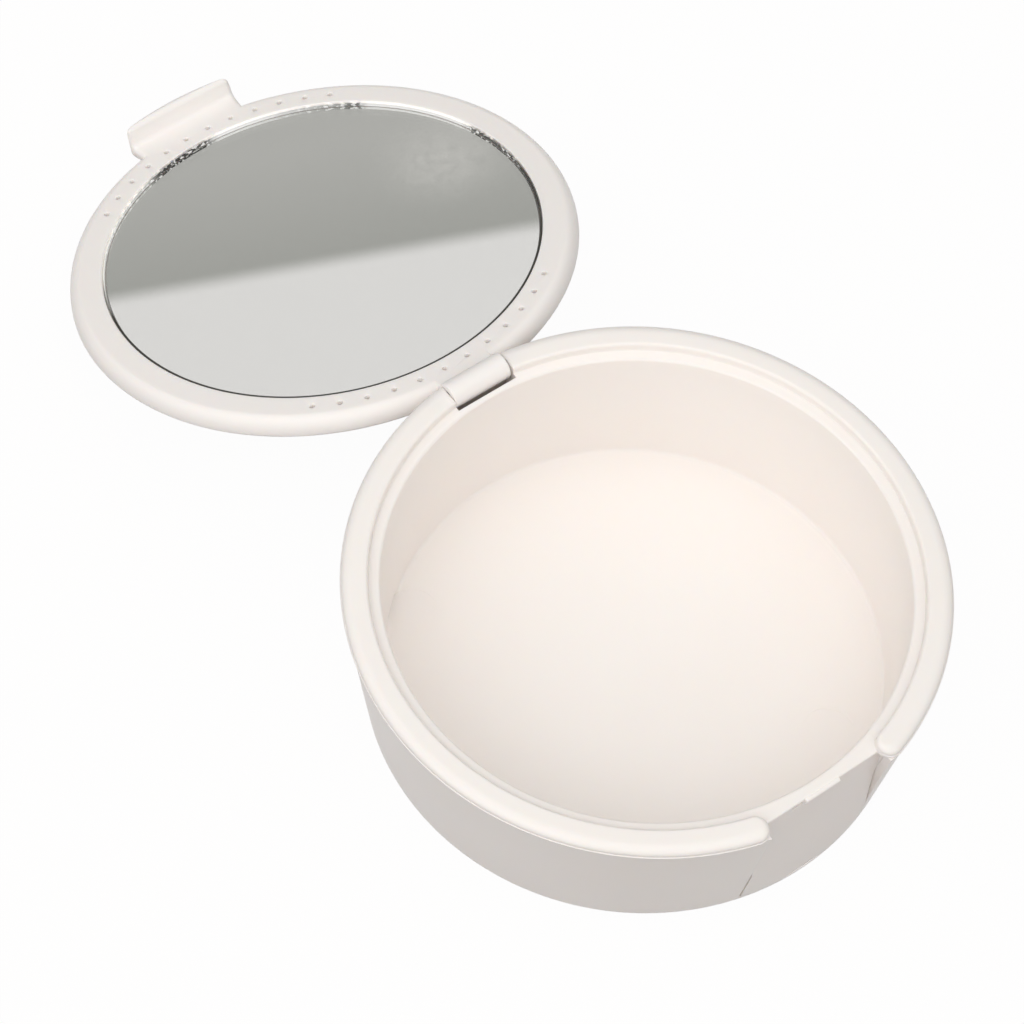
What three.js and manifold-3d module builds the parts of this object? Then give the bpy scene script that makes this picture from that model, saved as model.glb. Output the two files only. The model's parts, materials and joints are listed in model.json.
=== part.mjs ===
// Round denture case: a bowl made of two nested mouldings, and a mirrored lid hinged at its rim.
// Millimetres, +Z up. The origin is the middle of the bowl's underside. The hinge runs along X at the
// back (+Y) and the latch is at the front (-Y). The lid is open and leans from the hinge to the table.
import * as THREE from "three";
import { mergeVertices } from "three/addons/utils/BufferGeometryUtils.js";
import Module from "manifold-3d";

// Inner tub: floor, wall, the ledge that the closed lid nests in, and the rim over the outer shell
const mouthRadius = 36.5; // inside the wall at the ledge
const tubLean = 1; // the wall draws in this far from the ledge to the floor
const tubWall = 1.2;
const tubFloor = 1.2;
const floorFillet = 0.6;
const ledgeWidth = 1.7;
const ledgeThickness = 1.3;
const ledgeDrop = 1.4; // from the rim's top down to the ledge
const ledgeRound = 0.35;
const rimHeight = 26; // from the table to the rim's top
const rimThickness = 1.5;
const rimBeyondHinge = 2.13; // from the hinge line out to the rim's lip
const rimShoulderWidth = 1.7;
const rimShoulderDrop = 1;
const rimEdgeRound = 0.3;

// Outer shell: a plain tapered cup under the rim
const lipStep = 0.3; // the rim's lip stands this far outside the shell
const shellLean = 3.37; // the outside draws in this far from the rim to the table
const shellWall = 1.3;
const shellFloor = 1;
const footRound = 1.1;
const shellCornerRound = 0.8; // inside, between floor and wall
const floorGap = 0.3; // air between the shell's floor and the tub's
const jointGap = 0.15; // between the tub and the edges of the shell's openings
const spigotGap = 0.35; // round the step under the ledge that centres the tub in the shell

// Front channel, where the lid's lip hangs when the case is shut
const channelHalfWidth = 10.1;
const frontWall = 1.8; // the tub's flat front, measured at the ledge
const frontOverlap = 1.9; // the flat front runs on this far behind the shell's edges
const noseInset = 0.6; // the rim's rounded ends reach this far into the channel
const catchHalfWidth = 2.9;
const catchReach = 0.45;
const catchTopDrop = 0.15; // from the ledge down to the top of the catch's slope
const catchDrop = 1.3; // from the ledge down to the catch's crest
const catchUndercut = 0.15;
const nickOffset = 4.1; // a small core mark beside the catch
const nickHalfWidth = 0.9;
const nickDrop = 0.45;
const nickHeight = 0.6;
const nickDepth = 0.5;

// Hinge: a steel pin held in two lugs of the tub, and the lid's barrel that turns on it
const pinRadius = 0.6;
const pinFit = 0.05; // radial play in the lugs
const pinPlay = 0.25; // radial play in the barrel
const pinEndPlay = 0.3;
const barrelWall = 1.15;
const barrelLength = 9.5;
const barrelSideGap = 0.22;
const slitWidth = 0.67; // between the barrel and the tub's wall
const hingeWall = 0.7; // the tub's wall behind the barrel, at its thinnest
const lugThickness = 3.1;
const snapSlotWidth = 1; // the pin snaps in through this slot, from below
const notchClearance = 0.9; // under the lid's edge where it passes through the back of the bowl

// Lid
const lidThickness = 3;
const lidSeatGap = 0.25; // between the shut lid's ring and the ledge
const lidGap = 0.25; // between the shut lid's edge and the rim
const lidShoulderWidth = 1.9; // the ring rounds off over this width to the lid's edge
const lidShoulderDrop = 2.5;
const lidEdgeRound = 0.45; // at the lid's back
const ringWidth = 5.15; // from the lid's edge to the mirror's recess
const neckHalfWidth = 4.1;
const neckThickness = 2.2;
const neckFlare = 0.6;
const neckLength = 1.2;
const ventRadius = 0.4;
const ventSpacing = 3.95; // along the circle that the holes lie on
const ventCount = 12; // on the hinge's side, and as many on the latch's side
const ventCircleShare = 0.615; // of the ring's width, from the lid's edge inwards

// Tab and lip, by which the lid is lifted
const tabSideGap = 1.6; // at the tab's root, to each side of the channel when shut
const tabFlare = 0.9; // the tab widens this much to each side, from its root to its end
const tabThickness = 2.3;
const tabUnderRound = 1.3;
const tabCornerRound = 1.3;
const catchClearance = 0.15; // between the lip's foot and the catch's crest when shut
const lipFillet = 1;
const lipHeight = 3.1;
const lipLean = 0.35; // the lip's inner face leans out this far over its height
const lipInset = 0.75; // the lip's outer face stays this far inside the rim's lip
const lipRound = 1;
const tableGap = 0.12; // between the table and the lip's underside

// Mirror
const mirrorThickness = 1.2;
const mirrorDrop = 0.15; // below the lid's ring
const mirrorGap = 0.35; // round the glass
const padThickness = 0.25;
const padInset = 2.5; // the adhesive pad stops this far inside the glass's edge
const padGap = 0.2; // on each side of the pad

// Round witness marks that the ejector pins leave on the tub's floor
const ejectorRadius = 3.75;
const ejectorDepth = 0.12;
const ejectorShares = [
  [0.44, -0.69],
  [-0.6, 0.69],
]; // of the floor's radius

// One overrun for every cut that has to pass through a face
const overrun = 3;

// Facets
const roundSegments = 96;
const smallSegments = 20;
const ventSegments = 10;
const cornerSteps = 4;
const arcSteps = 10;

// Places worked out from the sizes
const tubUnderside = shellFloor + floorGap;
const floorTop = tubUnderside + tubFloor;
const ledgeZ = rimHeight - ledgeDrop;
const ledgeUnderside = ledgeZ - ledgeThickness;
const jointZ = rimHeight - rimThickness;
const floorRadius = mouthRadius - tubLean;
const rebateRadius = mouthRadius + ledgeWidth;
const barrelRadius = pinRadius + pinPlay + barrelWall;
const hingeWallY = mouthRadius + hingeWall;
const hingeY = hingeWallY + slitWidth + barrelRadius;
const hingeZ = ledgeZ + lidSeatGap;
const rimRadius = hingeY + rimBeyondHinge;
const shellTopRadius = rimRadius - lipStep;
const facetY = -(mouthRadius + frontWall);
const notchHalfWidth = barrelLength / 2 + barrelSideGap;
const notchFloorZ = hingeZ - lidThickness - notchClearance;
const lugEnd = notchHalfWidth + lugThickness;
const lidRadius = rebateRadius - lidGap;
const recessRadius = lidRadius - ringWidth;
const mirrorRadius = recessRadius - mirrorGap;
const mirrorBack = mirrorDrop + mirrorThickness;
const padBack = mirrorBack + padGap + padThickness;
const recessDepth = padBack + padGap;
const lipRadius = rimRadius - lipInset;
const lipInnerU = hingeY - facetY + catchReach + catchClearance;
const lidReach = hingeY + lipRadius;

// The open lid leans until the round under its lip almost meets the table.
const underU = lidReach - tabUnderRound;
const underDepth = tabThickness - tabUnderRound;
const lidTilt =
  Math.asin((hingeZ - tableGap - tabUnderRound) / Math.hypot(underU, underDepth)) -
  Math.atan2(underDepth, underU);

const wasm = await Module();
wasm.setup();

// A closed three.js geometry as a solid that can be joined and cut
function solidOf(geometry) {
  const bare = geometry.clone();
  bare.deleteAttribute("normal");
  bare.deleteAttribute("uv");
  const merged = mergeVertices(bare);
  const corners = merged.index.array;
  const kept = [];
  for (let i = 0; i < corners.length; i += 3) {
    const [a, b, c] = corners.slice(i, i + 3);
    if (a !== b && b !== c && c !== a) kept.push(a, b, c);
  }
  const mesh = new wasm.Mesh({
    numProp: 3,
    vertProperties: merged.attributes.position.array,
    triVerts: new Uint32Array(kept),
  });
  return new wasm.Manifold(mesh);
}

// A solid as a geometry with flat faces
function geometryOf(solid) {
  const { vertProperties, triVerts } = solid.getMesh();
  const shared = new THREE.BufferGeometry();
  shared.setAttribute("position", new THREE.BufferAttribute(vertProperties, 3));
  shared.setIndex(new THREE.BufferAttribute(triVerts, 1));
  const geometry = shared.toNonIndexed();
  geometry.computeVertexNormals();
  return geometry;
}

// A solid turned about Z from an outline of [radius, height] that goes from the axis round to the axis
function turned(outline, segments = roundSegments) {
  const points = outline.map(([radius, height]) => new THREE.Vector2(radius, height));
  const geometry = new THREE.LatheGeometry(points, segments);
  geometry.rotateX(Math.PI / 2);
  return solidOf(geometry);
}

function block(low, high) {
  const size = high.map((value, axis) => value - low[axis]);
  const geometry = new THREE.BoxGeometry(...size);
  geometry.translate(...low.map((value, axis) => value + size[axis] / 2));
  return solidOf(geometry);
}

// An upright disc or post from z = low to z = high
function post(radius, low, high, x, y, segments = smallSegments) {
  const geometry = new THREE.CylinderGeometry(radius, radius, high - low, segments);
  geometry.rotateX(Math.PI / 2);
  geometry.translate(x, y, (low + high) / 2);
  return solidOf(geometry);
}

// A rod along X, centred on x = 0
function rod(radius, length, y, z) {
  const geometry = new THREE.CylinderGeometry(radius, radius, length, smallSegments);
  geometry.rotateZ(Math.PI / 2);
  geometry.translate(0, y, z);
  return solidOf(geometry);
}

// An outline of [y, z] points drawn out along X, centred on x = 0
function bar(outline, halfLength) {
  const shape = new THREE.Shape(outline.map(([y, z]) => new THREE.Vector2(y, z)));
  const geometry = new THREE.ExtrudeGeometry(shape, { depth: halfLength * 2, bevelEnabled: false });
  geometry.translate(0, 0, -halfLength);
  geometry.rotateX(Math.PI / 2);
  geometry.rotateZ(Math.PI / 2);
  return solidOf(geometry);
}

// A plan drawn as a three.js shape, raised from z = low to z = high
function prism(shape, low, high) {
  const geometry = new THREE.ExtrudeGeometry(shape, {
    depth: high - low,
    bevelEnabled: false,
    curveSegments: arcSteps,
  });
  geometry.translate(0, 0, low);
  return solidOf(geometry);
}

// Points of an elliptic arc, its angles in quarter turns
function arc(x, y, width, height, from, to, steps = cornerSteps) {
  return Array.from({ length: steps + 1 }, (_, step) => {
    const angle = ((from + ((to - from) * step) / steps) * Math.PI) / 2;
    return [x + width * Math.cos(angle), y + height * Math.sin(angle)];
  });
}

// Radius of the shell's outside, and of the tub's inside, at a height
const shellRadiusAt = (z) => shellTopRadius - (shellLean * (jointZ - z)) / jointZ;
const tubRadiusAt = (z) => mouthRadius - (tubLean * (ledgeZ - z)) / (ledgeZ - floorTop);

// The shell's outer form, filled; the tub's lugs and flat front keep inside it too.
function shellForm() {
  return turned([
    [0, 0],
    ...arc(shellRadiusAt(footRound) - footRound, footRound, footRound, footRound, -1, 0),
    [shellTopRadius, jointZ],
    [0, jointZ],
  ]);
}

// The shell's hollow, drawn in by a margin
function shellHollow(margin) {
  const lowRadius = shellRadiusAt(shellFloor) - shellWall - margin;
  const topRadius = shellTopRadius - shellWall - margin;
  const low = shellFloor + margin;
  const cornerX = lowRadius - shellCornerRound;
  return turned([
    [0, low],
    ...arc(cornerX, low + shellCornerRound, shellCornerRound, shellCornerRound, -1, 0),
    [topRadius, jointZ],
    [topRadius, jointZ + overrun],
    [0, jointZ + overrun],
  ]);
}

function outerShell() {
  const slotFloor = tubUnderside - jointGap;
  const frontSlot = block(
    [-channelHalfWidth, -rimRadius - overrun, slotFloor],
    [channelHalfWidth, 0, jointZ + overrun],
  );
  const pocketHalfWidth = lugEnd + jointGap;
  const lugPocket = block(
    [-pocketHalfWidth, 0, notchFloorZ],
    [pocketHalfWidth, rimRadius + overrun, jointZ + overrun],
  );
  return shellForm().subtract(shellHollow(0)).subtract(frontSlot).subtract(lugPocket);
}

// The tub's outside with its ledge, spigot and rim, filled
function tubForm() {
  const spigotRadius = shellRadiusAt(ledgeUnderside) - shellWall - spigotGap;
  return turned([
    [0, tubUnderside],
    [floorRadius + tubWall, tubUnderside],
    [tubRadiusAt(ledgeUnderside) + tubWall, ledgeUnderside],
    [spigotRadius, ledgeUnderside],
    [spigotRadius, jointZ],
    [rimRadius, jointZ],
    ...arc(
      rimRadius - rimShoulderWidth,
      rimHeight - rimShoulderDrop,
      rimShoulderWidth,
      rimShoulderDrop,
      0,
      1,
      cornerSteps * 2,
    ),
    [0, rimHeight],
  ]);
}

// What the tub leaves free for the dentures, and the rebate for the shut lid
function tubHollow() {
  return turned([
    [0, floorTop],
    ...arc(floorRadius - floorFillet, floorTop + floorFillet, floorFillet, floorFillet, -1, 0),
    ...arc(mouthRadius + ledgeRound, ledgeZ - ledgeRound, ledgeRound, ledgeRound, 2, 1),
    [rebateRadius, ledgeZ],
    ...arc(rebateRadius + rimEdgeRound, rimHeight - rimEdgeRound, rimEdgeRound, rimEdgeRound, 2, 1),
    [rebateRadius + rimEdgeRound, rimHeight + overrun],
    [0, rimHeight + overrun],
  ]);
}

// The flat front fills the shell's slot, and runs on behind the slot's edges.
function tubFront() {
  const inSlot = channelHalfWidth - jointGap;
  const behind = channelHalfWidth + frontOverlap;
  const middle = block([-inSlot, facetY, tubUnderside], [inSlot, 0, ledgeZ]);
  const wide = block([-behind, facetY, tubUnderside], [behind, 0, ledgeZ]);
  return middle.intersect(shellForm()).add(wide.intersect(shellHollow(jointGap)));
}

// Two lugs carry the pin. They fill the pocket in the shell and end flush with its outside.
function tubLugs() {
  const lugs = block([-lugEnd, 0, notchFloorZ + jointGap], [lugEnd, rimRadius, jointZ]);
  return lugs.intersect(shellForm());
}

// The rim's rounded ends at the front channel
function rimNoses() {
  const noseRadius = (rimRadius - rebateRadius) / 2;
  const middleRadius = rebateRadius + noseRadius;
  const x = channelHalfWidth - noseInset + noseRadius;
  const y = -Math.sqrt(middleRadius ** 2 - x ** 2);
  const posts = post(noseRadius, ledgeZ, rimHeight, x, y).add(post(noseRadius, ledgeZ, rimHeight, -x, y));
  return { x, noses: posts.intersect(tubForm()) };
}

// The latch's catch: a small wedge with a sloped top, on the flat front
function catchWedge() {
  const inside = facetY + catchReach;
  return bar(
    [
      [inside, ledgeZ - catchDrop - catchUndercut],
      [facetY, ledgeZ - catchDrop - catchUndercut],
      [facetY - catchReach, ledgeZ - catchDrop],
      [facetY, ledgeZ - catchTopDrop],
      [inside, ledgeZ - catchTopDrop],
    ],
    catchHalfWidth,
  );
}

function innerTub() {
  const { x: noseX, noses } = rimNoses();
  const front = -rimRadius - overrun;
  const top = rimHeight + overrun;
  const channel = block([-channelHalfWidth, front, 0], [channelHalfWidth, facetY, top]);
  const rimGap = block([-noseX, front, ledgeZ], [noseX, 0, top]);
  const notch = block([-notchHalfWidth, hingeWallY, notchFloorZ], [notchHalfWidth, -front, top]);
  const wallCut = block([-notchHalfWidth, mouthRadius, ledgeZ], [notchHalfWidth, -front, top]);
  const pinBore = rod(pinRadius + pinFit, lugEnd * 2, hingeY, hingeZ);
  const snapSlot = block(
    [-lugEnd, hingeY - snapSlotWidth / 2, notchFloorZ],
    [lugEnd, hingeY + snapSlotWidth / 2, hingeZ],
  );
  const nickTop = ledgeZ - nickDrop;
  const nick = block(
    [-nickOffset - nickHalfWidth, facetY - overrun, nickTop - nickHeight],
    [-nickOffset + nickHalfWidth, facetY + nickDepth, nickTop],
  );
  let tub = tubForm().add(tubFront()).add(tubLugs()).subtract(rimGap).add(noses).subtract(tubHollow());
  for (const cut of [channel, notch, wallCut, pinBore, snapSlot, nick]) tub = tub.subtract(cut);
  for (const [xShare, yShare] of ejectorShares) {
    const [x, y] = [xShare * floorRadius, yShare * floorRadius];
    tub = tub.subtract(post(ejectorRadius, floorTop - ejectorDepth, floorTop + overrun, x, y));
  }
  return tub.add(catchWedge());
}

function hingePin() {
  return rod(pinRadius, (lugEnd - pinEndPlay) * 2, hingeY, hingeZ);
}

// The lid's own frame: X along the hinge line, Y out from it across the lid, Z out of the mirror.
// A solid turned about the lid's middle
const turnedOnLid = (outline) => turned(outline).translate([0, hingeY, 0]);

function lidDisc() {
  return turnedOnLid([
    [0, -lidThickness],
    ...arc(lidRadius - lidEdgeRound, lidEdgeRound - lidThickness, lidEdgeRound, lidEdgeRound, -1, 0),
    ...arc(
      lidRadius - lidShoulderWidth,
      -lidShoulderDrop,
      lidShoulderWidth,
      lidShoulderDrop,
      0,
      1,
      cornerSteps * 2,
    ),
    [0, 0],
  ]);
}

// The neck joins the barrel to the disc, and flares into it.
function lidNeck() {
  const wide = neckHalfWidth + neckFlare;
  const far = hingeY - lidRadius + neckFlare;
  const shape = new THREE.Shape();
  shape.moveTo(-neckHalfWidth, 0);
  shape.lineTo(neckHalfWidth, 0);
  shape.lineTo(neckHalfWidth, neckLength);
  shape.lineTo(wide, far);
  shape.lineTo(wide, far + neckLength);
  shape.lineTo(-wide, far + neckLength);
  shape.lineTo(-wide, far);
  shape.lineTo(-neckHalfWidth, neckLength);
  return prism(shape, -neckThickness, 0);
}

// The tab's plan: its sides flare a little, and its end is an arc about the lid's middle.
function tabPlan() {
  const rootHalfWidth = channelHalfWidth - tabSideGap;
  const endHalfWidth = rootHalfWidth + tabFlare;
  const cornerX = endHalfWidth - tabCornerRound;
  const cornerDistance = Math.sqrt((lipRadius - tabCornerRound) ** 2 - cornerX ** 2);
  const turn = Math.atan2(cornerDistance, cornerX);
  const cornerY = hingeY + cornerDistance;
  const rootY = hingeY + recessRadius;
  const shape = new THREE.Shape();
  shape.moveTo(-rootHalfWidth, rootY);
  shape.lineTo(rootHalfWidth, rootY);
  shape.lineTo(endHalfWidth, cornerY);
  shape.absarc(cornerX, cornerY, tabCornerRound, 0, turn, false);
  shape.absarc(0, hingeY, lipRadius, turn, Math.PI - turn, false);
  shape.absarc(-cornerX, cornerY, tabCornerRound, Math.PI - turn, Math.PI, false);
  return shape;
}

// The tab seen from the side: a plate, and a lip with a leaning inner face and a rounded edge
function tabSide() {
  const root = hingeY + recessRadius;
  const end = lidReach + overrun;
  const lipTopU = lipInnerU + lipLean;
  return bar(
    [
      [root, -tabThickness],
      [end, -tabThickness],
      [end, lipHeight],
      ...arc(lipTopU + lipRound, lipHeight - lipRound, lipRound, lipRound, 1, 2),
      ...arc(lipInnerU - lipFillet, lipFillet, lipFillet, lipFillet, 0, -1),
      [root, 0],
    ],
    channelHalfWidth,
  );
}

function lidTab() {
  const rounded = turnedOnLid([
    [0, -tabThickness],
    ...arc(lipRadius - tabUnderRound, tabUnderRound - tabThickness, tabUnderRound, tabUnderRound, -1, 0),
    ...arc(lipRadius - lipRound, lipHeight - lipRound, lipRound, lipRound, 0, 1),
    [0, lipHeight],
  ]);
  return prism(tabPlan(), -tabThickness, lipHeight).intersect(tabSide()).intersect(rounded);
}

// Vent holes in two rows, beside the hinge and beside the tab
function ventHoles() {
  const circle = lidRadius - ringWidth * ventCircleShare;
  const step = ventSpacing / circle;
  const holes = [];
  for (const side of [-1, 1]) {
    for (let i = 0; i < ventCount; i += 1) {
      const angle = (i - (ventCount - 1) / 2) * step;
      const [x, y] = [circle * Math.sin(angle), hingeY + side * circle * Math.cos(angle)];
      holes.push(post(ventRadius, -lidThickness - overrun, overrun, x, y, ventSegments));
    }
  }
  return holes;
}

function lid() {
  const recess = post(recessRadius, -recessDepth, overrun, 0, hingeY, roundSegments);
  const barrelBore = rod(pinRadius + pinPlay, barrelLength + overrun, 0, 0);
  let whole = lidDisc().add(lidNeck()).add(lidTab()).add(rod(barrelRadius, barrelLength, 0, 0));
  for (const cut of [recess, barrelBore, ...ventHoles()]) whole = whole.subtract(cut);
  return whole;
}

function mirror() {
  return post(mirrorRadius, -mirrorBack, -mirrorDrop, 0, hingeY, roundSegments);
}

function mirrorAdhesive() {
  return post(mirrorRadius - padInset, -padBack, -mirrorBack - padGap, 0, hingeY, roundSegments);
}

// Materials
const cream = new THREE.MeshStandardMaterial({ color: 0xf3ebe2, roughness: 0.38, metalness: 0 });
const silver = new THREE.MeshStandardMaterial({ color: 0xd4d6d5, roughness: 0.04, metalness: 1 });
const tape = new THREE.MeshStandardMaterial({ color: 0xdcd8cf, roughness: 0.9, metalness: 0 });
const steel = new THREE.MeshStandardMaterial({ color: 0xb9bbbe, roughness: 0.3, metalness: 1 });

function named(name, solid, material) {
  const mesh = new THREE.Mesh(geometryOf(solid), material);
  mesh.name = name;
  return mesh;
}

const bowl = new THREE.Group();
bowl.add(
  named("outer_shell", outerShell(), cream),
  named("inner_tub", innerTub(), cream),
  named("hinge_pin", hingePin(), steel),
);

const lidGroup = new THREE.Group();
lidGroup.position.set(0, hingeY, hingeZ);
lidGroup.rotation.x = -lidTilt;
lidGroup.add(
  named("lid", lid(), cream),
  named("mirror", mirror(), silver),
  named("mirror_adhesive", mirrorAdhesive(), tape),
);

const dentureCase = new THREE.Group();
dentureCase.add(bowl, lidGroup);

export default dentureCase;
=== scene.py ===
# %% [markdown]
# # A round denture case with a mirrored lid
#
# The case stands open on a white table. Its bowl is two nested mouldings of cream polypropylene, and
# its lid, hinged at the back, carries a round glass mirror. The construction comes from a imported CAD
# model, which is loaded here as a fixed frame. This file dresses it: every moulding is modelled again
# with the soft edges and fine steps that an injection mould leaves, and gets the finish of the real
# material.

# %% Load the frame
import json
import math

import bmesh
import bpy
from mathutils import Matrix, Vector

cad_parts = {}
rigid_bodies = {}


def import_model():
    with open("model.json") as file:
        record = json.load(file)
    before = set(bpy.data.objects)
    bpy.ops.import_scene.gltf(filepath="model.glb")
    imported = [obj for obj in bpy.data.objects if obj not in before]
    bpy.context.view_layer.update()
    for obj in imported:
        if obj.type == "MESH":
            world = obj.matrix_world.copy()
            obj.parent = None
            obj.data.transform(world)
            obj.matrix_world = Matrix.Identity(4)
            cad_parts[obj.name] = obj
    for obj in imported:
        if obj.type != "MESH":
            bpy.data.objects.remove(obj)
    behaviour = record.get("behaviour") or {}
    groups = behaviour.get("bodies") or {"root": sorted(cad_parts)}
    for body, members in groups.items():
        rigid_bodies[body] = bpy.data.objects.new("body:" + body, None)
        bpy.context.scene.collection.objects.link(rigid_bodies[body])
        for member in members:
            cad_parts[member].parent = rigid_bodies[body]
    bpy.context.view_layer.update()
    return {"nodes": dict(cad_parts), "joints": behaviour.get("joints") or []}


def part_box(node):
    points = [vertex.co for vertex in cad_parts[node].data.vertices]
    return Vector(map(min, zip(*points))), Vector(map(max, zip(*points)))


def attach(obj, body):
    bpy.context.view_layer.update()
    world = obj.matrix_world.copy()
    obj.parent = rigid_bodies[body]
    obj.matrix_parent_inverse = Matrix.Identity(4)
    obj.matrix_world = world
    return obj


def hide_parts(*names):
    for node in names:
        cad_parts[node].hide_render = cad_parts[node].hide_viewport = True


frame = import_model()
print("nodes:", sorted(frame["nodes"]))

# %% [markdown]
# ## Sizes
#
# Outlines are written in millimetres, because moulded edges are fractions of one. The main sizes are
# read from the frame, so the dressing always fits the model: the rim and the height from the tub's
# box, the joint under the rim from the shell's, the hinge line from the joint, and the lid's lean from
# where the middle of the mirror lies. The rest are the small sizes of each piece, named beside it.

# %% Read the main sizes
MM = 0.001


def millimetres(vector):
    return Vector(vector) / MM


tub_low, tub_high = (millimetres(corner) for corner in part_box("inner_tub"))
shell_low, shell_high = (millimetres(corner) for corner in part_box("outer_shell"))
mirror_low, mirror_high = (millimetres(corner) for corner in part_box("mirror"))
pin_low, pin_high = (millimetres(corner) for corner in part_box("hinge_pin"))
hinge = millimetres(frame["joints"][0]["pos_m"])

RIM_RADIUS = tub_high.x
RIM_Z = tub_high.z
TUB_UNDERSIDE = tub_low.z
SHELL_RADIUS = shell_high.x
JOINT_Z = shell_high.z
MIRROR_RADIUS = mirror_high.x
PIN_RADIUS = (pin_high.z - pin_low.z) / 2
HINGE_Y, HINGE_Z = hinge.y, hinge.z

MIRROR_DROP = 0.15
MIRROR_THICKNESS = 1.2
mirror_middle = (mirror_low + mirror_high) / 2
lean = math.atan2(HINGE_Z - mirror_middle.z, mirror_middle.y - HINGE_Y)
LID_TILT = lean - math.atan2(MIRROR_DROP + MIRROR_THICKNESS / 2, HINGE_Y)
print(f"rim {RIM_RADIUS:.2f} mm, height {RIM_Z:.2f} mm, lid leans {math.degrees(LID_TILT):.2f} degrees")

# %% [markdown]
# ## Helpers for turned and cut mouldings
#
# A moulding like this is a turned form with a few straight cuts. So each piece starts as half an
# outline, which a spin carries once round the axis, and the slots and notches are cut from it. A
# boolean modifier does the cutting here, since a loop cut cannot follow a straight notch through round
# walls. A plain cut leaves edges that are knife sharp, and no moulded edge is. So the cutting tools are
# flared to round what they cut, and the edges of the shell's slot are bevelled afterwards. The turned
# edges are already round in the outline.

# %% Outlines and spins
ROUND_STEPS = 240
SMALL_STEPS = 64
CORNER_STEPS = 5
RIM_SEGMENTS = 6
END_SEGMENTS = 4
# distances in millimetres below which points are taken for one
SAME_POINT = 0.0005
FINE_MERGE = 0.002
MERGE = 0.01
# edges that turn by more than this are sharp
SHARP = math.radians(35)


def arc(x, y, width, height, start, end, steps=CORNER_STEPS):
    """Points of an elliptic arc, its angles in quarter turns."""
    turns = [start + (end - start) * step / steps for step in range(steps + 1)]
    return [
        (x + width * math.cos(turn * math.pi / 2), y + height * math.sin(turn * math.pi / 2))
        for turn in turns
    ]


def quarter_turn(steps):
    """Angles from nothing to a quarter turn."""
    return [step / steps * math.pi / 2 for step in range(steps + 1)]


def piece_from(bm, name):
    mesh = bpy.data.meshes.new(name)
    bm.to_mesh(mesh)
    bm.free()
    piece = bpy.data.objects.new(name, mesh)
    bpy.context.scene.collection.objects.link(piece)
    return piece


def spun(name, outline, x=0.0, y=0.0, steps=ROUND_STEPS):
    """A solid of revolution about an upright axis, from points of radius and height."""
    bm = bmesh.new()
    corners = [bm.verts.new((radius * MM, 0, height * MM)) for radius, height in outline]
    edges = [bm.edges.new(pair) for pair in zip(corners, corners[1:])]
    bmesh.ops.spin(
        bm,
        geom=corners + edges,
        cent=(0, 0, 0),
        axis=(0, 0, 1),
        angle=math.tau,
        steps=steps,
        use_merge=True,
    )
    bmesh.ops.remove_doubles(bm, verts=bm.verts, dist=SAME_POINT * MM)
    bmesh.ops.recalc_face_normals(bm, faces=bm.faces)
    bmesh.ops.translate(bm, verts=bm.verts, vec=(x * MM, y * MM, 0))
    return piece_from(bm, name)


def slab(name, low, high):
    """A block between two corners."""
    bm = bmesh.new()
    bmesh.ops.create_cube(bm, size=1)
    size = Vector(high) - Vector(low)
    bmesh.ops.scale(bm, verts=bm.verts, vec=size * MM)
    bmesh.ops.translate(bm, verts=bm.verts, vec=(Vector(low) + size / 2) * MM)
    return piece_from(bm, name)


def drawn(name, outline, direction, round_low=0.0, round_high=0.0):
    """A closed outline of points, drawn out along a direction, with its two end rims rounded."""
    bm = bmesh.new()
    face = bm.faces.new([bm.verts.new(Vector(point) * MM) for point in outline])
    low_edges = list(face.edges)
    grown = bmesh.ops.extrude_face_region(bm, geom=[face])["geom"]
    tops = [item for item in grown if isinstance(item, bmesh.types.BMVert)]
    high_edges = [item for item in grown if isinstance(item, bmesh.types.BMEdge)]
    bmesh.ops.translate(bm, verts=tops, vec=Vector(direction) * MM)
    bmesh.ops.recalc_face_normals(bm, faces=bm.faces)
    for edges, width in ((low_edges, round_low), (high_edges, round_high)):
        if width:
            bevel_edges(bm, [edge for edge in edges if edge.is_valid], width, RIM_SEGMENTS)
    return piece_from(bm, name)


def rod(name, radius, half_length, y, z, round_end=0.0, x=0.0):
    """A round bar along the hinge's direction."""
    bm = bmesh.new()
    bmesh.ops.create_cone(
        bm,
        cap_ends=True,
        segments=SMALL_STEPS,
        radius1=radius * MM,
        radius2=radius * MM,
        depth=half_length * 2 * MM,
    )
    if round_end:
        ends = [edge for edge in bm.edges if edge.calc_face_angle() > SHARP]
        bevel_edges(bm, ends, round_end, END_SEGMENTS)
    bmesh.ops.rotate(bm, verts=bm.verts, cent=(0, 0, 0), matrix=Matrix.Rotation(math.pi / 2, 3, "Y"))
    bmesh.ops.translate(bm, verts=bm.verts, vec=(x * MM, y * MM, z * MM))
    return piece_from(bm, name)


# %% Cuts, joins and soft edges
def combined(piece, tool, operation):
    """Joins, cuts or trims a piece with a tool, which is used up."""
    step = piece.modifiers.new(operation.lower(), "BOOLEAN")
    step.operation = operation
    step.solver = "MANIFOLD"
    step.object = tool
    ready = piece.evaluated_get(bpy.context.evaluated_depsgraph_get())
    mesh = bpy.data.meshes.new_from_object(ready)
    piece.modifiers.clear()
    old = piece.data
    piece.data = mesh
    bpy.data.meshes.remove(old)
    bpy.data.objects.remove(tool)
    return piece


def cut(piece, *tools):
    for tool in tools:
        combined(piece, tool, "DIFFERENCE")
    return piece


def join(piece, *tools):
    for tool in tools:
        combined(piece, tool, "UNION")
    return piece


def trim(piece, tool):
    return combined(piece, tool, "INTERSECT")


def bevel_edges(bm, edges, width, segments):
    bmesh.ops.bevel(
        bm,
        geom=edges,
        offset=width * MM,
        offset_type="OFFSET",
        segments=segments,
        profile=0.5,
        affect="EDGES",
        clamp_overlap=False,
        material=-1,
    )


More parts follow.
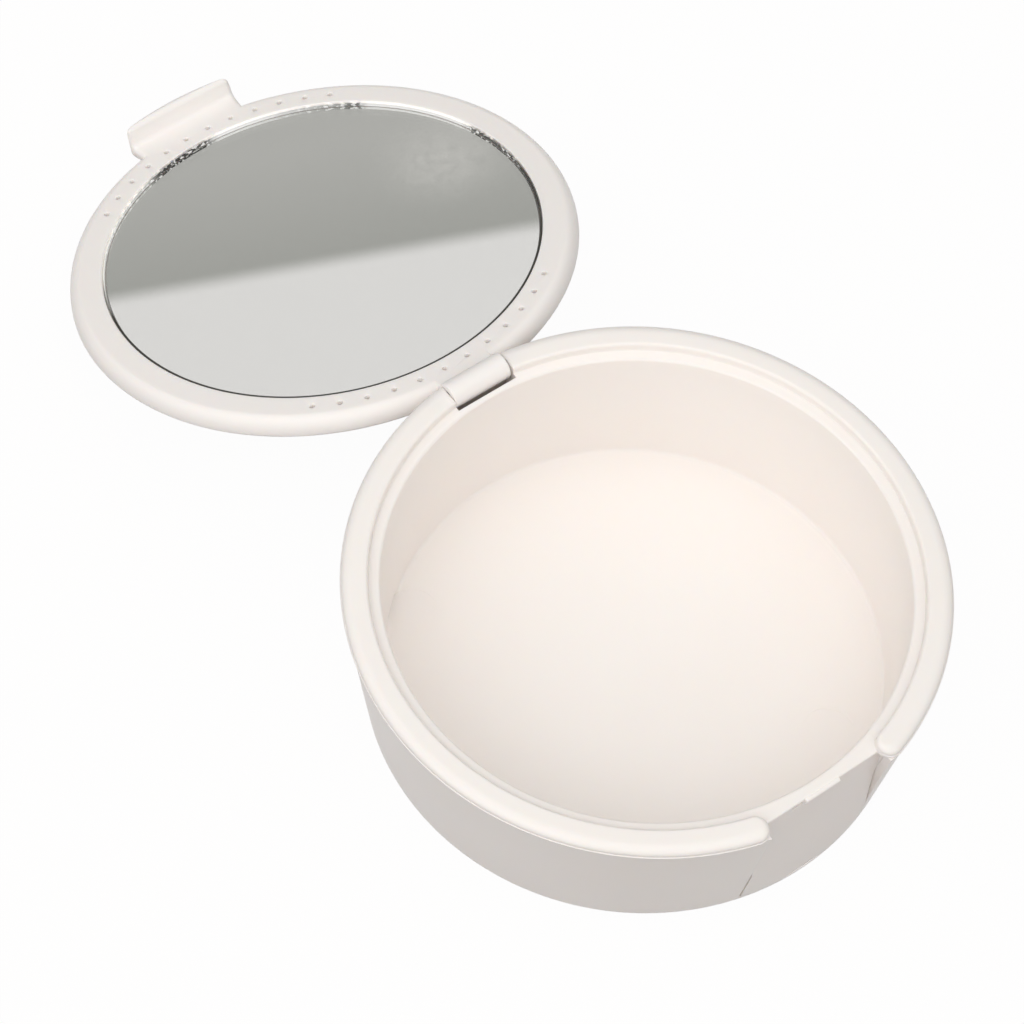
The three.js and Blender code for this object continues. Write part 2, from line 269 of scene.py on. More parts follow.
STRAIGHT = math.radians(150)
FLAT = math.radians(0.4)
WELD_ROUNDS = 6
BEVEL_ROOM = 1.3
SLIVER = 0.005


def is_sharp(edge):
    return len(edge.link_faces) == 2 and edge.calc_face_angle() > SHARP


def is_corner(vert):
    lines = [edge for edge in vert.link_edges if is_sharp(edge)]
    if len(lines) != 2:
        return len(lines) > 2
    first, second = (line.other_vert(vert).co - vert.co for line in lines)
    return first.angle(second) < STRAIGHT


def weld_short_edges(bm, limit):
    """Draws points that lie very near a sharp line into it, corners last, so a bevel has room."""
    for _ in range(WELD_ROUNDS):
        rank = {}
        for vert in bm.verts:
            on_line = any(is_sharp(edge) for edge in vert.link_edges)
            rank[vert] = (2 if is_corner(vert) else 1) if on_line else 0
        targets = {}
        for edge in bm.edges:
            one, other = edge.verts
            if edge.calc_length() > limit or rank[one] == rank[other] != 1:
                continue
            kept, lost = (one, other) if rank[one] >= rank[other] else (other, one)
            if lost in targets or kept in targets or lost in targets.values():
                continue
            targets[lost] = kept
        if not targets:
            break
        bmesh.ops.weld_verts(bm, targetmap=targets)


def stored(bm, piece):
    """Splits faces with over four sides, stores the mesh and returns how many edges are open."""
    big = [face for face in bm.faces if len(face.verts) > 4]
    bmesh.ops.triangulate(bm, faces=big, quad_method="BEAUTY", ngon_method="BEAUTY")
    open_edges = sum(1 for edge in bm.edges if len(edge.link_faces) != 2)
    bm.to_mesh(piece.data)
    bm.free()
    return open_edges


def soften(piece, width, segments, where):
    """Bevels the sharp edges whose middle passes a test, by a width in millimetres."""
    bm = bmesh.new()
    bm.from_mesh(piece.data)
    bmesh.ops.remove_doubles(bm, verts=bm.verts, dist=MERGE * MM)
    bmesh.ops.dissolve_degenerate(bm, edges=bm.edges, dist=SLIVER * MM)
    weld_short_edges(bm, BEVEL_ROOM * width * MM)
    sharp = [
        edge
        for edge in bm.edges
        if is_sharp(edge) and where((edge.verts[0].co + edge.verts[1].co) / (2 * MM))
    ]
    bevel_edges(bm, sharp, width, segments)
    bmesh.ops.remove_doubles(bm, verts=bm.verts, dist=FINE_MERGE * MM)
    bmesh.ops.dissolve_degenerate(bm, edges=bm.edges, dist=FINE_MERGE * MM)
    print(f"{piece.name}: {len(sharp)} edges softened, {stored(bm, piece)} open")


def finish_surface(piece):
    """Smooth shading whose normals follow the broad faces, so flats stay flat beside round edges."""
    bm = bmesh.new()
    bm.from_mesh(piece.data)
    bmesh.ops.remove_doubles(bm, verts=bm.verts, dist=MERGE * MM)
    bmesh.ops.dissolve_degenerate(bm, edges=bm.edges, dist=MERGE * MM)
    bmesh.ops.dissolve_limit(bm, angle_limit=FLAT, verts=bm.verts, edges=bm.edges)
    open_edges = stored(bm, piece)
    piece.data.shade_smooth()
    piece.data.set_sharp_from_angle(angle=SHARP)
    weighted = piece.modifiers.new("flat_faces_stay_flat", "WEIGHTED_NORMAL")
    weighted.mode = "FACE_AREA_WITH_ANGLE"
    weighted.weight = 60
    weighted.keep_sharp = True
    print(f"{piece.name}: {len(piece.data.polygons)} faces, {open_edges} open edges")


# %% [markdown]
# ## The outer shell
#
# The shell is a plain tapered cup with a wall of 1.3 mm, moulded in one shot. Its foot is rounded, it
# has a slot at the front where the tub's flat latch face shows, and a pocket at the back where the
# tub's hinge lugs drop in. The outside is spun as a solid, and a second form, smaller by the wall,
# hollows it out. The same two forms later trim the parts of the tub that fit against the shell.

# %% Outer shell
# how far cutting tools reach past the part, where there is room and where there is little
OVERRUN = 3.0
SHORT_OVERRUN = 1.0
# the radius and height that they reach
PAST_RIM = RIM_RADIUS + OVERRUN
PAST_TOP = RIM_Z + OVERRUN
SHELL_LEAN = 3.37
SHELL_WALL = 1.3
SHELL_FLOOR = 1.0
FOOT_ROUND = 1.1
SHELL_CORNER = 0.8
SHELL_EDGE = 0.2
SHELL_SEGMENTS = 3
SLOT_NEAR, SLOT_SIDE = 0.3, 0.1
# all but no gap where the mouldings are pressed together, and a seam that shows at the slot's sides
JOINT_GAP = 0.03
SLOT_GAP = 0.2
CHANNEL_HALF = 10.1
BARREL_HALF = 4.75
BARREL_ROOM = 0.22
NOTCH_HALF = BARREL_HALF + BARREL_ROOM
PIN_COVER = 0.3
LUG_END = pin_high.x + PIN_COVER
LID_THICKNESS = 3.0
NOTCH_ROOM = 0.9
NOTCH_FLOOR = HINGE_Z - LID_THICKNESS - NOTCH_ROOM


def shell_radius(height):
    return SHELL_RADIUS - SHELL_LEAN * (JOINT_Z - height) / JOINT_Z


def filled_shell(name, top=JOINT_Z):
    foot = shell_radius(FOOT_ROUND)
    outline = [(0, 0), *arc(foot - FOOT_ROUND, FOOT_ROUND, FOOT_ROUND, FOOT_ROUND, -1, 0)]
    return spun(name, [*outline, (SHELL_RADIUS, top), (0, top)])


def shell_hollow(name, margin):
    inner_low = shell_radius(SHELL_FLOOR) - SHELL_WALL - margin
    inner_top = SHELL_RADIUS - SHELL_WALL - margin
    low = SHELL_FLOOR + margin
    corner = arc(inner_low - SHELL_CORNER, low + SHELL_CORNER, SHELL_CORNER, SHELL_CORNER, -1, 0)
    top = JOINT_Z + OVERRUN
    return spun(name, [(0, low), *corner, (inner_top, JOINT_Z), (inner_top, top), (0, top)])


def on_front_slot(point):
    """True on the slot's edges that show from outside."""
    outside = math.hypot(point.x, point.y) > shell_radius(point.z) - SLOT_NEAR
    return outside and point.y < 0 and abs(point.x) < CHANNEL_HALF + SLOT_SIDE


shell = filled_shell("shell_moulding")
cut(
    shell,
    shell_hollow("hollow", 0.0),
    slab(
        "front_slot",
        (-CHANNEL_HALF, -PAST_RIM, TUB_UNDERSIDE - JOINT_GAP),
        (CHANNEL_HALF, 0, JOINT_Z + OVERRUN),
    ),
    slab(
        "lug_pocket",
        (-LUG_END - JOINT_GAP, 0, NOTCH_FLOOR),
        (LUG_END + JOINT_GAP, PAST_RIM, JOINT_Z + OVERRUN),
    ),
)
soften(shell, SHELL_EDGE, SHELL_SEGMENTS, on_front_slot)
finish_surface(shell)

# %% [markdown]
# ## The inner tub
#
# The tub is the part that is handled: the floor and wall, a ledge that the shut lid nests in, and the
# wide rim that covers the shell's edge. The body is turned first. The flat front and the two lugs are
# joined on while it is still filled, because the hollow then cuts them to the wall in one go.

# %% Tub sizes
MOUTH_RADIUS = 36.5
TUB_LEAN = 1.0
TUB_WALL = 1.2
TUB_FLOOR = 1.2
FLOOR_FILLET = 0.6
LEDGE_WIDTH = 1.7
LEDGE_DROP = 1.4
LEDGE_THICKNESS = 1.3
LEDGE_ROUND = 0.45
LEDGE_FILLET = 0.25
SPIGOT_GAP = 0.35
FRONT_WALL = 1.8
FRONT_OVERLAP = 1.9
HINGE_WALL = 0.7
TUB_EDGE = 0.3
RIM_OVERLAP = 0.05

FLOOR_Z = TUB_UNDERSIDE + TUB_FLOOR
LEDGE_Z = RIM_Z - LEDGE_DROP
LEDGE_UNDERSIDE = LEDGE_Z - LEDGE_THICKNESS
FLOOR_RADIUS = MOUTH_RADIUS - TUB_LEAN
REBATE_RADIUS = MOUTH_RADIUS + LEDGE_WIDTH
FACET_Y = -(MOUTH_RADIUS + FRONT_WALL)


# %% Tub body
def tub_body(name):
    wall_low = FLOOR_RADIUS + TUB_WALL
    wall_top = MOUTH_RADIUS + TUB_WALL
    spigot = shell_radius(LEDGE_UNDERSIDE) - SHELL_WALL - SPIGOT_GAP
    outline = [(0, TUB_UNDERSIDE), (wall_low, TUB_UNDERSIDE), (wall_top, LEDGE_UNDERSIDE)]
    return spun(name, [*outline, (spigot, LEDGE_UNDERSIDE), (spigot, LEDGE_Z), (0, LEDGE_Z)])


def tub_hollow(name):
    floor = FLOOR_Z + FLOOR_FILLET
    fillet = arc(FLOOR_RADIUS - FLOOR_FILLET, floor, FLOOR_FILLET, FLOOR_FILLET, -1, 0)
    mouth = arc(MOUTH_RADIUS + LEDGE_ROUND, LEDGE_Z - LEDGE_ROUND, LEDGE_ROUND, LEDGE_ROUND, 2, 1)
    top = LEDGE_Z + OVERRUN
    return spun(name, [(0, FLOOR_Z), *fillet, *mouth, (MOUTH_RADIUS + LEDGE_ROUND, top), (0, top)])


def front_panel():
    in_slot = CHANNEL_HALF - SLOT_GAP
    behind = CHANNEL_HALF + FRONT_OVERLAP
    middle = slab("middle", (-in_slot, -RIM_RADIUS, TUB_UNDERSIDE), (in_slot, 0, LEDGE_Z))
    wide = slab("wide", (-behind, -RIM_RADIUS, TUB_UNDERSIDE), (behind, 0, LEDGE_Z))
    trim(middle, filled_shell("form", LEDGE_Z))
    return join(middle, trim(wide, shell_hollow("behind", JOINT_GAP)))


def lugs():
    top = JOINT_Z + RIM_OVERLAP
    both = slab("lugs", (-LUG_END, 0, NOTCH_FLOOR + JOINT_GAP), (LUG_END, RIM_RADIUS, top))
    return trim(both, filled_shell("form", top))


def front_channel():
    """What the flat front is cut with: its top edge is rounded by the tool."""
    edge = arc(FACET_Y + TUB_EDGE, LEDGE_Z - TUB_EDGE, TUB_EDGE, TUB_EDGE, 2, 1)
    profile = [(-PAST_RIM, 0), (FACET_Y, 0), *edge, (FACET_Y + TUB_EDGE, PAST_TOP), (-PAST_RIM, PAST_TOP)]
    return drawn("channel", [(-CHANNEL_HALF, y, z) for y, z in profile], (2 * CHANNEL_HALF, 0, 0))


tub = tub_body("tub_moulding")
join(tub, front_panel(), lugs())
cut(tub, tub_hollow("hollow"), front_channel())
print("tub body:", len(tub.data.polygons), "faces")

# %% [markdown]
# ## The rim and its rounded ends
#
# The rim is one soft-shouldered bar that runs round the mouth and ends, rounded, on both sides of the
# latch. Its section is drawn as two halves with as many points each: the outer half, with the wide
# shoulder, and the inner half, with the small edge over the ledge. The whole section is spun round the
# bowl, stopping short of the latch. Each end is the outer half swung half a turn about the bar's
# middle, while it eases into the inner half, so the two shapes meet without a step.

# %% Rim
RIM_EDGE = 0.5
SHOULDER_WIDTH = 1.7
SHOULDER_DROP = 1.0
SHOULDER_STEPS = 12
LIP_EDGE = 0.15
LIP_STEPS = 3
# the parting line: a step of 0.15 mm under the shoulder, as shares of its width and drop
PARTING_BEAD = 0.15
PARTING_DROP = 0.2
PARTING_STEPS = ((1, 0.5), (1, 1), (0.2, 1.2), (0, 1.45))
# points down the flat of the inner edge, so that both halves have as many
FLAT_STEPS = (1.3, 1.5, 1.7, 1.9)
NOSE_INSET = 0.6
NOSE_STEPS = 24

rim_half = (RIM_RADIUS - REBATE_RADIUS) / 2
rim_middle = REBATE_RADIUS + rim_half
nose_x = CHANNEL_HALF - NOSE_INSET + rim_half
nose_y = -math.sqrt(rim_middle**2 - nose_x**2)
shoulder_x = rim_half - SHOULDER_WIDTH - PARTING_BEAD
shoulder_z = RIM_Z - SHOULDER_DROP
FILLET_DIP = 0.03
FILLET_Z = LEDGE_Z + LEDGE_FILLET - FILLET_DIP
outer_half = [
    (0, RIM_Z),
    *arc(shoulder_x, shoulder_z, SHOULDER_WIDTH, SHOULDER_DROP, 1, 0, SHOULDER_STEPS),
    *[(rim_half - out * PARTING_BEAD, shoulder_z - down * PARTING_DROP) for out, down in PARTING_STEPS],
    *arc(rim_half - LIP_EDGE, JOINT_Z + LIP_EDGE, LIP_EDGE, LIP_EDGE, 0, -1, LIP_STEPS),
    (0, JOINT_Z),
]
inner_half = [
    (0, RIM_Z),
    *arc(rim_half - RIM_EDGE, RIM_Z - RIM_EDGE, RIM_EDGE, RIM_EDGE, 1, 0, SHOULDER_STEPS),
    *[(rim_half, RIM_Z - down * RIM_EDGE) for down in FLAT_STEPS],
    *arc(rim_half + LEDGE_FILLET, FILLET_Z, LEDGE_FILLET, LEDGE_FILLET, 2, 3, LIP_STEPS),
    (0, JOINT_Z),
]


def rim_bar():
    bm = bmesh.new()
    start = math.atan2(nose_y, nose_x)
    turn = math.pi - 2 * start
    section = [(rim_middle + x, z) for x, z in outer_half]
    section += [(rim_middle - x, z) for x, z in reversed(inner_half[1:-1])]
    ring = [bm.verts.new((r * math.cos(start) * MM, r * math.sin(start) * MM, z * MM)) for r, z in section]
    edges = [bm.edges.new(pair) for pair in zip(ring, ring[1:] + ring[:1])]
    bmesh.ops.spin(
        bm, geom=ring + edges, cent=(0, 0, 0), axis=(0, 0, 1), angle=turn, steps=ROUND_STEPS
    )
    for side in (1, -1):
        centre = Vector((side * nose_x, nose_y, 0)) * MM
        outward = centre.normalized()
        chain = [bm.verts.new(centre + outward * x * MM + Vector((0, 0, z * MM))) for x, z in outer_half]
        links = [bm.edges.new(pair) for pair in zip(chain, chain[1:])]
        before = len(bm.verts) - len(chain)
        bmesh.ops.spin(
            bm,
            geom=chain + links,
            cent=centre,
            axis=(0, 0, 1),
            angle=-side * math.pi,
            steps=NOSE_STEPS,
        )
        bm.verts.ensure_lookup_table()
        for index in range(before, len(bm.verts)):
            step, point = divmod(index - before, len(outer_half))
            vert = bm.verts[index]
            share = step / NOSE_STEPS
            ease = share * share * (3 - 2 * share)
            flat = Vector((vert.co.x - centre.x, vert.co.y - centre.y, 0))
            radius = outer_half[point][0] + (inner_half[point][0] - outer_half[point][0]) * ease
            height = outer_half[point][1] + (inner_half[point][1] - outer_half[point][1]) * ease
            direction = flat.normalized() if flat.length > SAME_POINT * MM else outward
            vert.co = centre + direction * radius * MM + Vector((0, 0, height * MM))
    bmesh.ops.remove_doubles(bm, verts=bm.verts, dist=FINE_MERGE * MM)
    bmesh.ops.recalc_face_normals(bm, faces=bm.faces)
    open_edges = sum(1 for edge in bm.edges if len(edge.link_faces) != 2)
    print("rim bar open edges:", open_edges)
    return piece_from(bm, "rim_bar")


# %% [markdown]
# ## Hinge eyes, catch and moulding marks
#
# At the back the rim is notched for the lid's barrel, and a bore through the lugs takes the pin, with a
# slot below it through which the pin snaps in. At the front a small wedge is the catch. A nick beside
# it and two faint circles on the floor are marks of the mould's core and ejector pins.

# %% Join the rim, cut the hinge, add the catch
CATCH_HALF = 2.9
CATCH_REACH = 0.5
CATCH_TOP_DROP = 0.1
CATCH_ROUND = 0.35
CATCH_DROP = 1.0
CATCH_END = 0.15
CATCH_UNDERCUT = 0.3
NICK_LEFT, NICK_RIGHT = -5.0, -3.2
NICK_LOW, NICK_HIGH = 1.05, 0.45
NICK_DEPTH = 0.5
EJECTOR_RADIUS = 3.75
EJECTOR_DEPTH = 0.06
EJECTOR_DRAFT = 0.05
EJECTOR_SHARES = ((0.44, -0.69), (-0.6, 0.69))
SNAP_SLOT = 1.0
NOTCH_EDGE = 0.5
BORE_PLAY = 0.05
BARREL_PLAY = 0.25


def catch():
    """A small ledge with a soft front edge, which the lid's lip snaps over."""
    inside = FACET_Y + CATCH_REACH
    front = FACET_Y - CATCH_REACH
    top = LEDGE_Z - CATCH_TOP_DROP
    low = LEDGE_Z - CATCH_DROP
    edge = arc(front + CATCH_ROUND, top - CATCH_ROUND, CATCH_ROUND, CATCH_ROUND, 2, 1)
    under = low - CATCH_UNDERCUT
    profile = [(inside, under), (FACET_Y, under), (front, low), *edge, (inside, top)]
    outline = [(-CATCH_HALF, y, z) for y, z in profile]
    return drawn("catch", outline, (2 * CATCH_HALF, 0, 0), CATCH_END, CATCH_END)


def hinge_notch():
    """The notch for the lid's barrel, its tool flared so that it rounds the rim's ends."""
    wide = NOTCH_HALF + NOTCH_EDGE
    edge = arc(wide, RIM_Z - NOTCH_EDGE, NOTCH_EDGE, NOTCH_EDGE, 2, 1)
    side = [(NOTCH_HALF, NOTCH_FLOOR), *edge, (wide, RIM_Z + OVERRUN)]
    profile = side + [(-x, z) for x, z in reversed(side)]
    start = MOUTH_RADIUS + HINGE_WALL
    return drawn("notch", [(x, start, z) for x, z in profile], (0, PAST_RIM - start, 0))


join(tub, rim_bar())
cut(
    tub,
    hinge_notch(),
    slab("wall_top", (-NOTCH_HALF, MOUTH_RADIUS - OVERRUN, LEDGE_Z), (NOTCH_HALF, PAST_RIM, PAST_TOP)),
    rod("pin_bore", PIN_RADIUS + BORE_PLAY, LUG_END + SHORT_OVERRUN, HINGE_Y, HINGE_Z),
    slab(
        "snap_slot",
        (-LUG_END - SHORT_OVERRUN, HINGE_Y - SNAP_SLOT / 2, NOTCH_FLOOR - SHORT_OVERRUN),
        (LUG_END + SHORT_OVERRUN, HINGE_Y + SNAP_SLOT / 2, HINGE_Z),
    ),
)
join(tub, catch())
cut(
    tub,
    slab(
        "nick",
        (NICK_LEFT, FACET_Y - OVERRUN, LEDGE_Z - NICK_LOW),
        (NICK_RIGHT, FACET_Y + NICK_DEPTH, LEDGE_Z - NICK_HIGH),
    ),
)
for x_share, y_share in EJECTOR_SHARES:
    low, high = FLOOR_Z - EJECTOR_DEPTH, FLOOR_Z + SHORT_OVERRUN
    mark_outline = [(0, low), (EJECTOR_RADIUS, low), (EJECTOR_RADIUS + EJECTOR_DRAFT, high), (0, high)]
    cut(tub, spun("mark", mark_outline, x_share * FLOOR_RADIUS, y_share * FLOOR_RADIUS, SMALL_STEPS))
finish_surface(tub)

# %% [markdown]
# ## The lid
#
# The lid is drawn flat, in its own frame: the hinge line is at the origin, the lid lies along +Y and
# its mirror faces up. When it is finished, its mesh is leaned back into place about the hinge.

# %% Lid sizes
LID_PLACE = Matrix.Translation((0, HINGE_Y * MM, HINGE_Z * MM)) @ Matrix.Rotation(-LID_TILT, 4, "X")
LID_GAP = 0.25
LID_SHOULDER_WIDTH = 1.9
LID_SHOULDER_DROP = 2.5
LID_EDGE = 0.45
RING_WIDTH = 5.15
NECK_HALF = 4.1
NECK_THICKNESS = 2.2
NECK_FLARE = 0.6
NECK_LENGTH = 1.2
NECK_ROOT = 4.6
NECK_EDGE = 0.35
BARREL_RADIUS = 2.0
BARREL_FILLET = 0.9
BARREL_END = 0.18
BARREL_SHIFT = -0.18
VENT_RADIUS = 0.4
VENT_SPACING = 3.95
VENT_COUNT = 12
VENT_SHARE = 0.615
VENT_EDGE = 0.12
RECESS_EDGE = 0.2
TAB_EDGE = 0.8
TAB_ROOT_HALF = 8.5
TAB_FLARE = 0.9
TAB_THICKNESS = 2.3
TAB_CORNER = 1.6
TAB_UNDER_ROUND = 1.3
LIP_REACH = 0.6
LIP_FILLET = 1.0
LIP_HEIGHT = 3.1
LIP_LEAN = 0.35
LIP_INSET = 0.75
LIP_ROUND = 1.0
LIP_TURN_STEPS = 8
DIP_STEPS = 6
PAD_STACK = 0.65

LID_RADIUS = REBATE_RADIUS - LID_GAP
RECESS_RADIUS = LID_RADIUS - RING_WIDTH
RECESS_DEPTH = MIRROR_DROP + MIRROR_THICKNESS + PAD_STACK
LIP_RADIUS = RIM_RADIUS - LIP_INSET
LIP_INNER = HINGE_Y - FACET_Y + LIP_REACH


# %% Lid disc and neck
def lid_disc():
    lower = arc(LID_RADIUS - LID_EDGE, LID_EDGE - LID_THICKNESS, LID_EDGE, LID_EDGE, -1, 0)
    flat = LID_RADIUS - LID_SHOULDER_WIDTH
    upper = arc(flat, -LID_SHOULDER_DROP, LID_SHOULDER_WIDTH, LID_SHOULDER_DROP, 0, 1, steps=14)
    return spun("lid_moulding", [(0, -LID_THICKNESS), *lower, *upper, (0, 0)], 0, HINGE_Y)


def lid_neck():
    wide = NECK_HALF + NECK_FLARE
    far = HINGE_Y - LID_RADIUS + NECK_FLARE
    side = [(NECK_HALF, 0), (NECK_HALF, NECK_LENGTH), (wide, far), (wide, NECK_ROOT)]
    plan = side + [(-x, y) for x, y in reversed(side)]
    floor = [(x, y, -NECK_THICKNESS) for x, y in plan]
    return drawn("neck", floor, (0, 0, NECK_THICKNESS), NECK_EDGE, NECK_EDGE)


def barrel_fillet():
    """The soft valley between the barrel and the neck."""
    reach = BARREL_RADIUS + BARREL_FILLET
    centre = math.sqrt(reach**2 - BARREL_FILLET**2)
    touch = 2 + math.atan2(BARREL_FILLET, centre) / (math.pi / 2)
    valley = arc(centre, BARREL_FILLET, BARREL_FILLET, BARREL_FILLET, 3, touch, steps=8)
    inside = BARREL_RADIUS / 4
    profile = [(centre, -BARREL_RADIUS / 2), *valley, (inside, inside), (inside, -BARREL_RADIUS / 2)]
    length = 2 * NECK_HALF
    return drawn("valley", [(-NECK_HALF, y, z) for y, z in profile], (length, 0, 0))


# %% Tab and lip
TAB_END_HALF = TAB_ROOT_HALF + TAB_FLARE
TAB_CORNER_X = TAB_END_HALF - TAB_CORNER
TAB_CORNER_Y = HINGE_Y + math.sqrt((LIP_RADIUS - TAB_CORNER) ** 2 - TAB_CORNER_X**2)
TAB_ROOT_Y = HINGE_Y + RECESS_RADIUS


def tab_side(y):
    """Half the tab's width at a distance from the hinge."""
    if y > TAB_CORNER_Y:
        return TAB_CORNER_X + math.sqrt(max(0, TAB_CORNER**2 - (y - TAB_CORNER_Y) ** 2))
    share = (y - TAB_ROOT_Y) / (TAB_CORNER_Y - TAB_ROOT_Y)
    return TAB_ROOT_HALF + TAB_FLARE * min(max(share, 0), 1)


def tab_room():
    """What is cut from over the tab: flat, then up inside the lip and round over its top.

    At the tab's sides the tool dips by a quarter circle, so it also rounds the edges that it cuts."""
    lean_top = LIP_INNER + LIP_LEAN
    path = [((TAB_ROOT_Y - OVERRUN, 0), (0, -1)), ((LIP_INNER - 2 * LIP_FILLET, 0), (0, -1))]
    for turn in quarter_turn(LIP_TURN_STEPS):
        normal = (math.sin(turn), -math.cos(turn))
        fillet = (LIP_INNER - LIP_FILLET + LIP_FILLET * normal[0], LIP_FILLET + LIP_FILLET * normal[1])
        path.append((fillet, normal))
    for turn in quarter_turn(LIP_TURN_STEPS):
        normal = (math.cos(turn), -math.sin(turn))
        centre = (lean_top + LIP_ROUND, LIP_HEIGHT - LIP_ROUND)
        path.append(((centre[0] - LIP_ROUND * normal[0], centre[1] - LIP_ROUND * normal[1]), normal))
    beyond = lean_top + LIP_ROUND + OVERRUN
    path.append(((beyond, LIP_HEIGHT), (0, -1)))
    dips = [
        (TAB_EDGE * (math.sin(turn) - 1), TAB_EDGE * (1 - math.cos(turn)))
        for turn in quarter_turn(DIP_STEPS)
    ]
    dips.append((OVERRUN, TAB_EDGE))
    high = LIP_HEIGHT + 2 * OVERRUN
    bm = bmesh.new()
    loops = []
    for side, steps in ((-1, reversed(dips)), (1, dips)):
        for past, dip in steps:
            ring = [
                (side * (tab_side(y) + past), y + normal_y * dip, z + normal_z * dip)
                for (y, z), (normal_y, normal_z) in path
            ]
            ring += [(ring[-1][0], beyond, high), (ring[0][0], TAB_ROOT_Y - OVERRUN, high)]
            points = [bm.verts.new(Vector(point) * MM) for point in ring]
            loops.append([bm.edges.new(pair) for pair in zip(points, points[1:] + points[:1])])
    for one, other in zip(loops, loops[1:]):
        bmesh.ops.bridge_loops(bm, edges=one + other)
    for end in (loops[0], loops[-1]):
        bmesh.ops.contextual_create(bm, geom=end)
    bmesh.ops.triangulate(bm, faces=bm.faces, quad_method="BEAUTY", ngon_method="BEAUTY")
    bmesh.ops.recalc_face_normals(bm, faces=bm.faces)
    return piece_from(bm, "room")


def lid_tab():
    turn = math.atan2(TAB_CORNER_Y - HINGE_Y, TAB_CORNER_X) / (math.pi / 2)
    corner = arc(TAB_CORNER_X, TAB_CORNER_Y, TAB_CORNER, TAB_CORNER, 0, turn, steps=10)
    end = arc(0, HINGE_Y, LIP_RADIUS, LIP_RADIUS, turn, 1, steps=12)
    side = [(TAB_ROOT_HALF, TAB_ROOT_Y), *corner, *end[1:]]
    plan = side + [(-x, y) for x, y in reversed(side[:-1])]
    outline = [(x, y, -TAB_THICKNESS) for x, y in plan]
    tab = drawn("tab", outline, (0, 0, LIP_HEIGHT + TAB_THICKNESS), TAB_UNDER_ROUND, LIP_ROUND)
    return cut(tab, tab_room())


# %% Vent holes
def vent_tools():
    """All the vent holes as one tool: short pins with flared heads, set round the mirror."""
    circle = LID_RADIUS - RING_WIDTH * VENT_SHARE
    step = VENT_SPACING / circle
    wide = VENT_RADIUS + VENT_EDGE
    head = arc(wide, -VENT_EDGE, VENT_EDGE, VENT_EDGE, 2, 1, steps=3)
    low, high = -LID_THICKNESS - OVERRUN, OVERRUN
    pin = spun("pin", [(0, low), (VENT_RADIUS, low), *head, (wide, high), (0, high)], steps=24)
    bm = bmesh.new()
    for side in (-1, 1):
        for index in range(VENT_COUNT):
            angle = (index - (VENT_COUNT - 1) / 2) * step
            spot = Vector((circle * math.sin(angle), HINGE_Y + side * circle * math.cos(angle), 0))
            before = len(bm.verts)
            bm.from_mesh(pin.data)
            bm.verts.ensure_lookup_table()
            bmesh.ops.translate(bm, verts=bm.verts[before:], vec=spot * MM)
    bpy.data.objects.remove(pin)
    return piece_from(bm, "vents")


# %% Put the lid together
lid = lid_disc()
barrel = rod("barrel", BARREL_RADIUS, BARREL_HALF, 0, 0, BARREL_END, BARREL_SHIFT)
join(lid, lid_neck(), lid_tab(), barrel, barrel_fillet())
recess_top = RECESS_RADIUS + RECESS_EDGE
recess = spun(
    "recess",
    [
        (0, -RECESS_DEPTH),
        (RECESS_RADIUS, -RECESS_DEPTH),
        *arc(recess_top, -RECESS_EDGE, RECESS_EDGE, RECESS_EDGE, 2, 1, steps=4),
        (recess_top, OVERRUN),
        (0, OVERRUN),
    ],
    0,
    HINGE_Y,
)
cut(lid, recess, vent_tools(), rod("bore", PIN_RADIUS + BARREL_PLAY, BARREL_HALF + OVERRUN, 0, 0))
lid.data.transform(LID_PLACE)
finish_surface(lid)

# %% [markdown]
# ## The mirror
#
# A back-silvered mirror is a slab of clear glass with a bright metal film behind it. Modelling both is
# what gives the double line at its rim: the ground edge of the glass is seen once directly and once
# in the film. The glass's edge is cut and lightly seamed; its sparkle on the far side is painted on
# the edge, as painted reflections and glints.

# %% Mirror glass and silver
SEAM = 0.18
FILM_SEAM = 0.01
SILVER_GAP = 0.004
SILVER_THICKNESS = 0.05
GLASS_SPREAD = 0.18


def disc(name, radius, top, bottom, seam):
    outline = [
        (0, bottom),
        (radius - seam, bottom),
        (radius, bottom + seam),
        (radius, top - seam),
        (radius - seam, top),
        (0, top),
    ]
    return spun(name, outline, 0, HINGE_Y)


glass_back = -MIRROR_DROP - MIRROR_THICKNESS
glass = disc("mirror_glass", MIRROR_RADIUS + GLASS_SPREAD, -MIRROR_DROP, glass_back, SEAM)
silver_top = glass_back - SILVER_GAP
silver_back = silver_top - SILVER_THICKNESS
silver = disc("mirror_silver", MIRROR_RADIUS - SEAM, silver_top, silver_back, FILM_SEAM)
for part in (glass, silver):
    part.data.transform(LID_PLACE)
print("mirror glass:", len(glass.data.polygons), "faces")

# %% [markdown]
# ## Materials
#
# Polypropylene for a case like this is moulded in a polished tool: a cream white that lets a little
# light in, so its inner corners glow warm, with a soft gloss. Colours are written as sRGB hex, as
# a colour picker shows them, and turned to the linear values that the renderer works in.


# %% Colour and node helpers
def linear(hex_colour):
    """An sRGB hex colour as linear red, green, blue and alpha."""
    channels = [int(hex_colour[i : i + 2], 16) / 255 for i in (1, 3, 5)]
    return [c / 12.92 if c <= 0.04045 else ((c + 0.055) / 1.055) ** 2.4 for c in channels] + [1]


def add_node(tree, kind, settings=None, **links):
    """Adds a node, sets its properties and inputs, and links inputs given as (node, output)."""
    node = tree.nodes.new(kind)
    for key, value in (settings or {}).items():
        if key in node.inputs:
            node.inputs[key].default_value = value
        else:
            setattr(node, key, value)
    for key, (source, output) in links.items():
        tree.links.new(source.outputs[output], node.inputs[key.replace("_", " ")])
    return node


def set_input(tree, node, key, value):
    """Gives an input a value, or links it where the value is a (node, output) pair."""
    if isinstance(value, tuple) and isinstance(value[0], bpy.types.Node):
        tree.links.new(value[0].outputs[value[1]], node.inputs[key])
    else:
        node.inputs[key].default_value = value


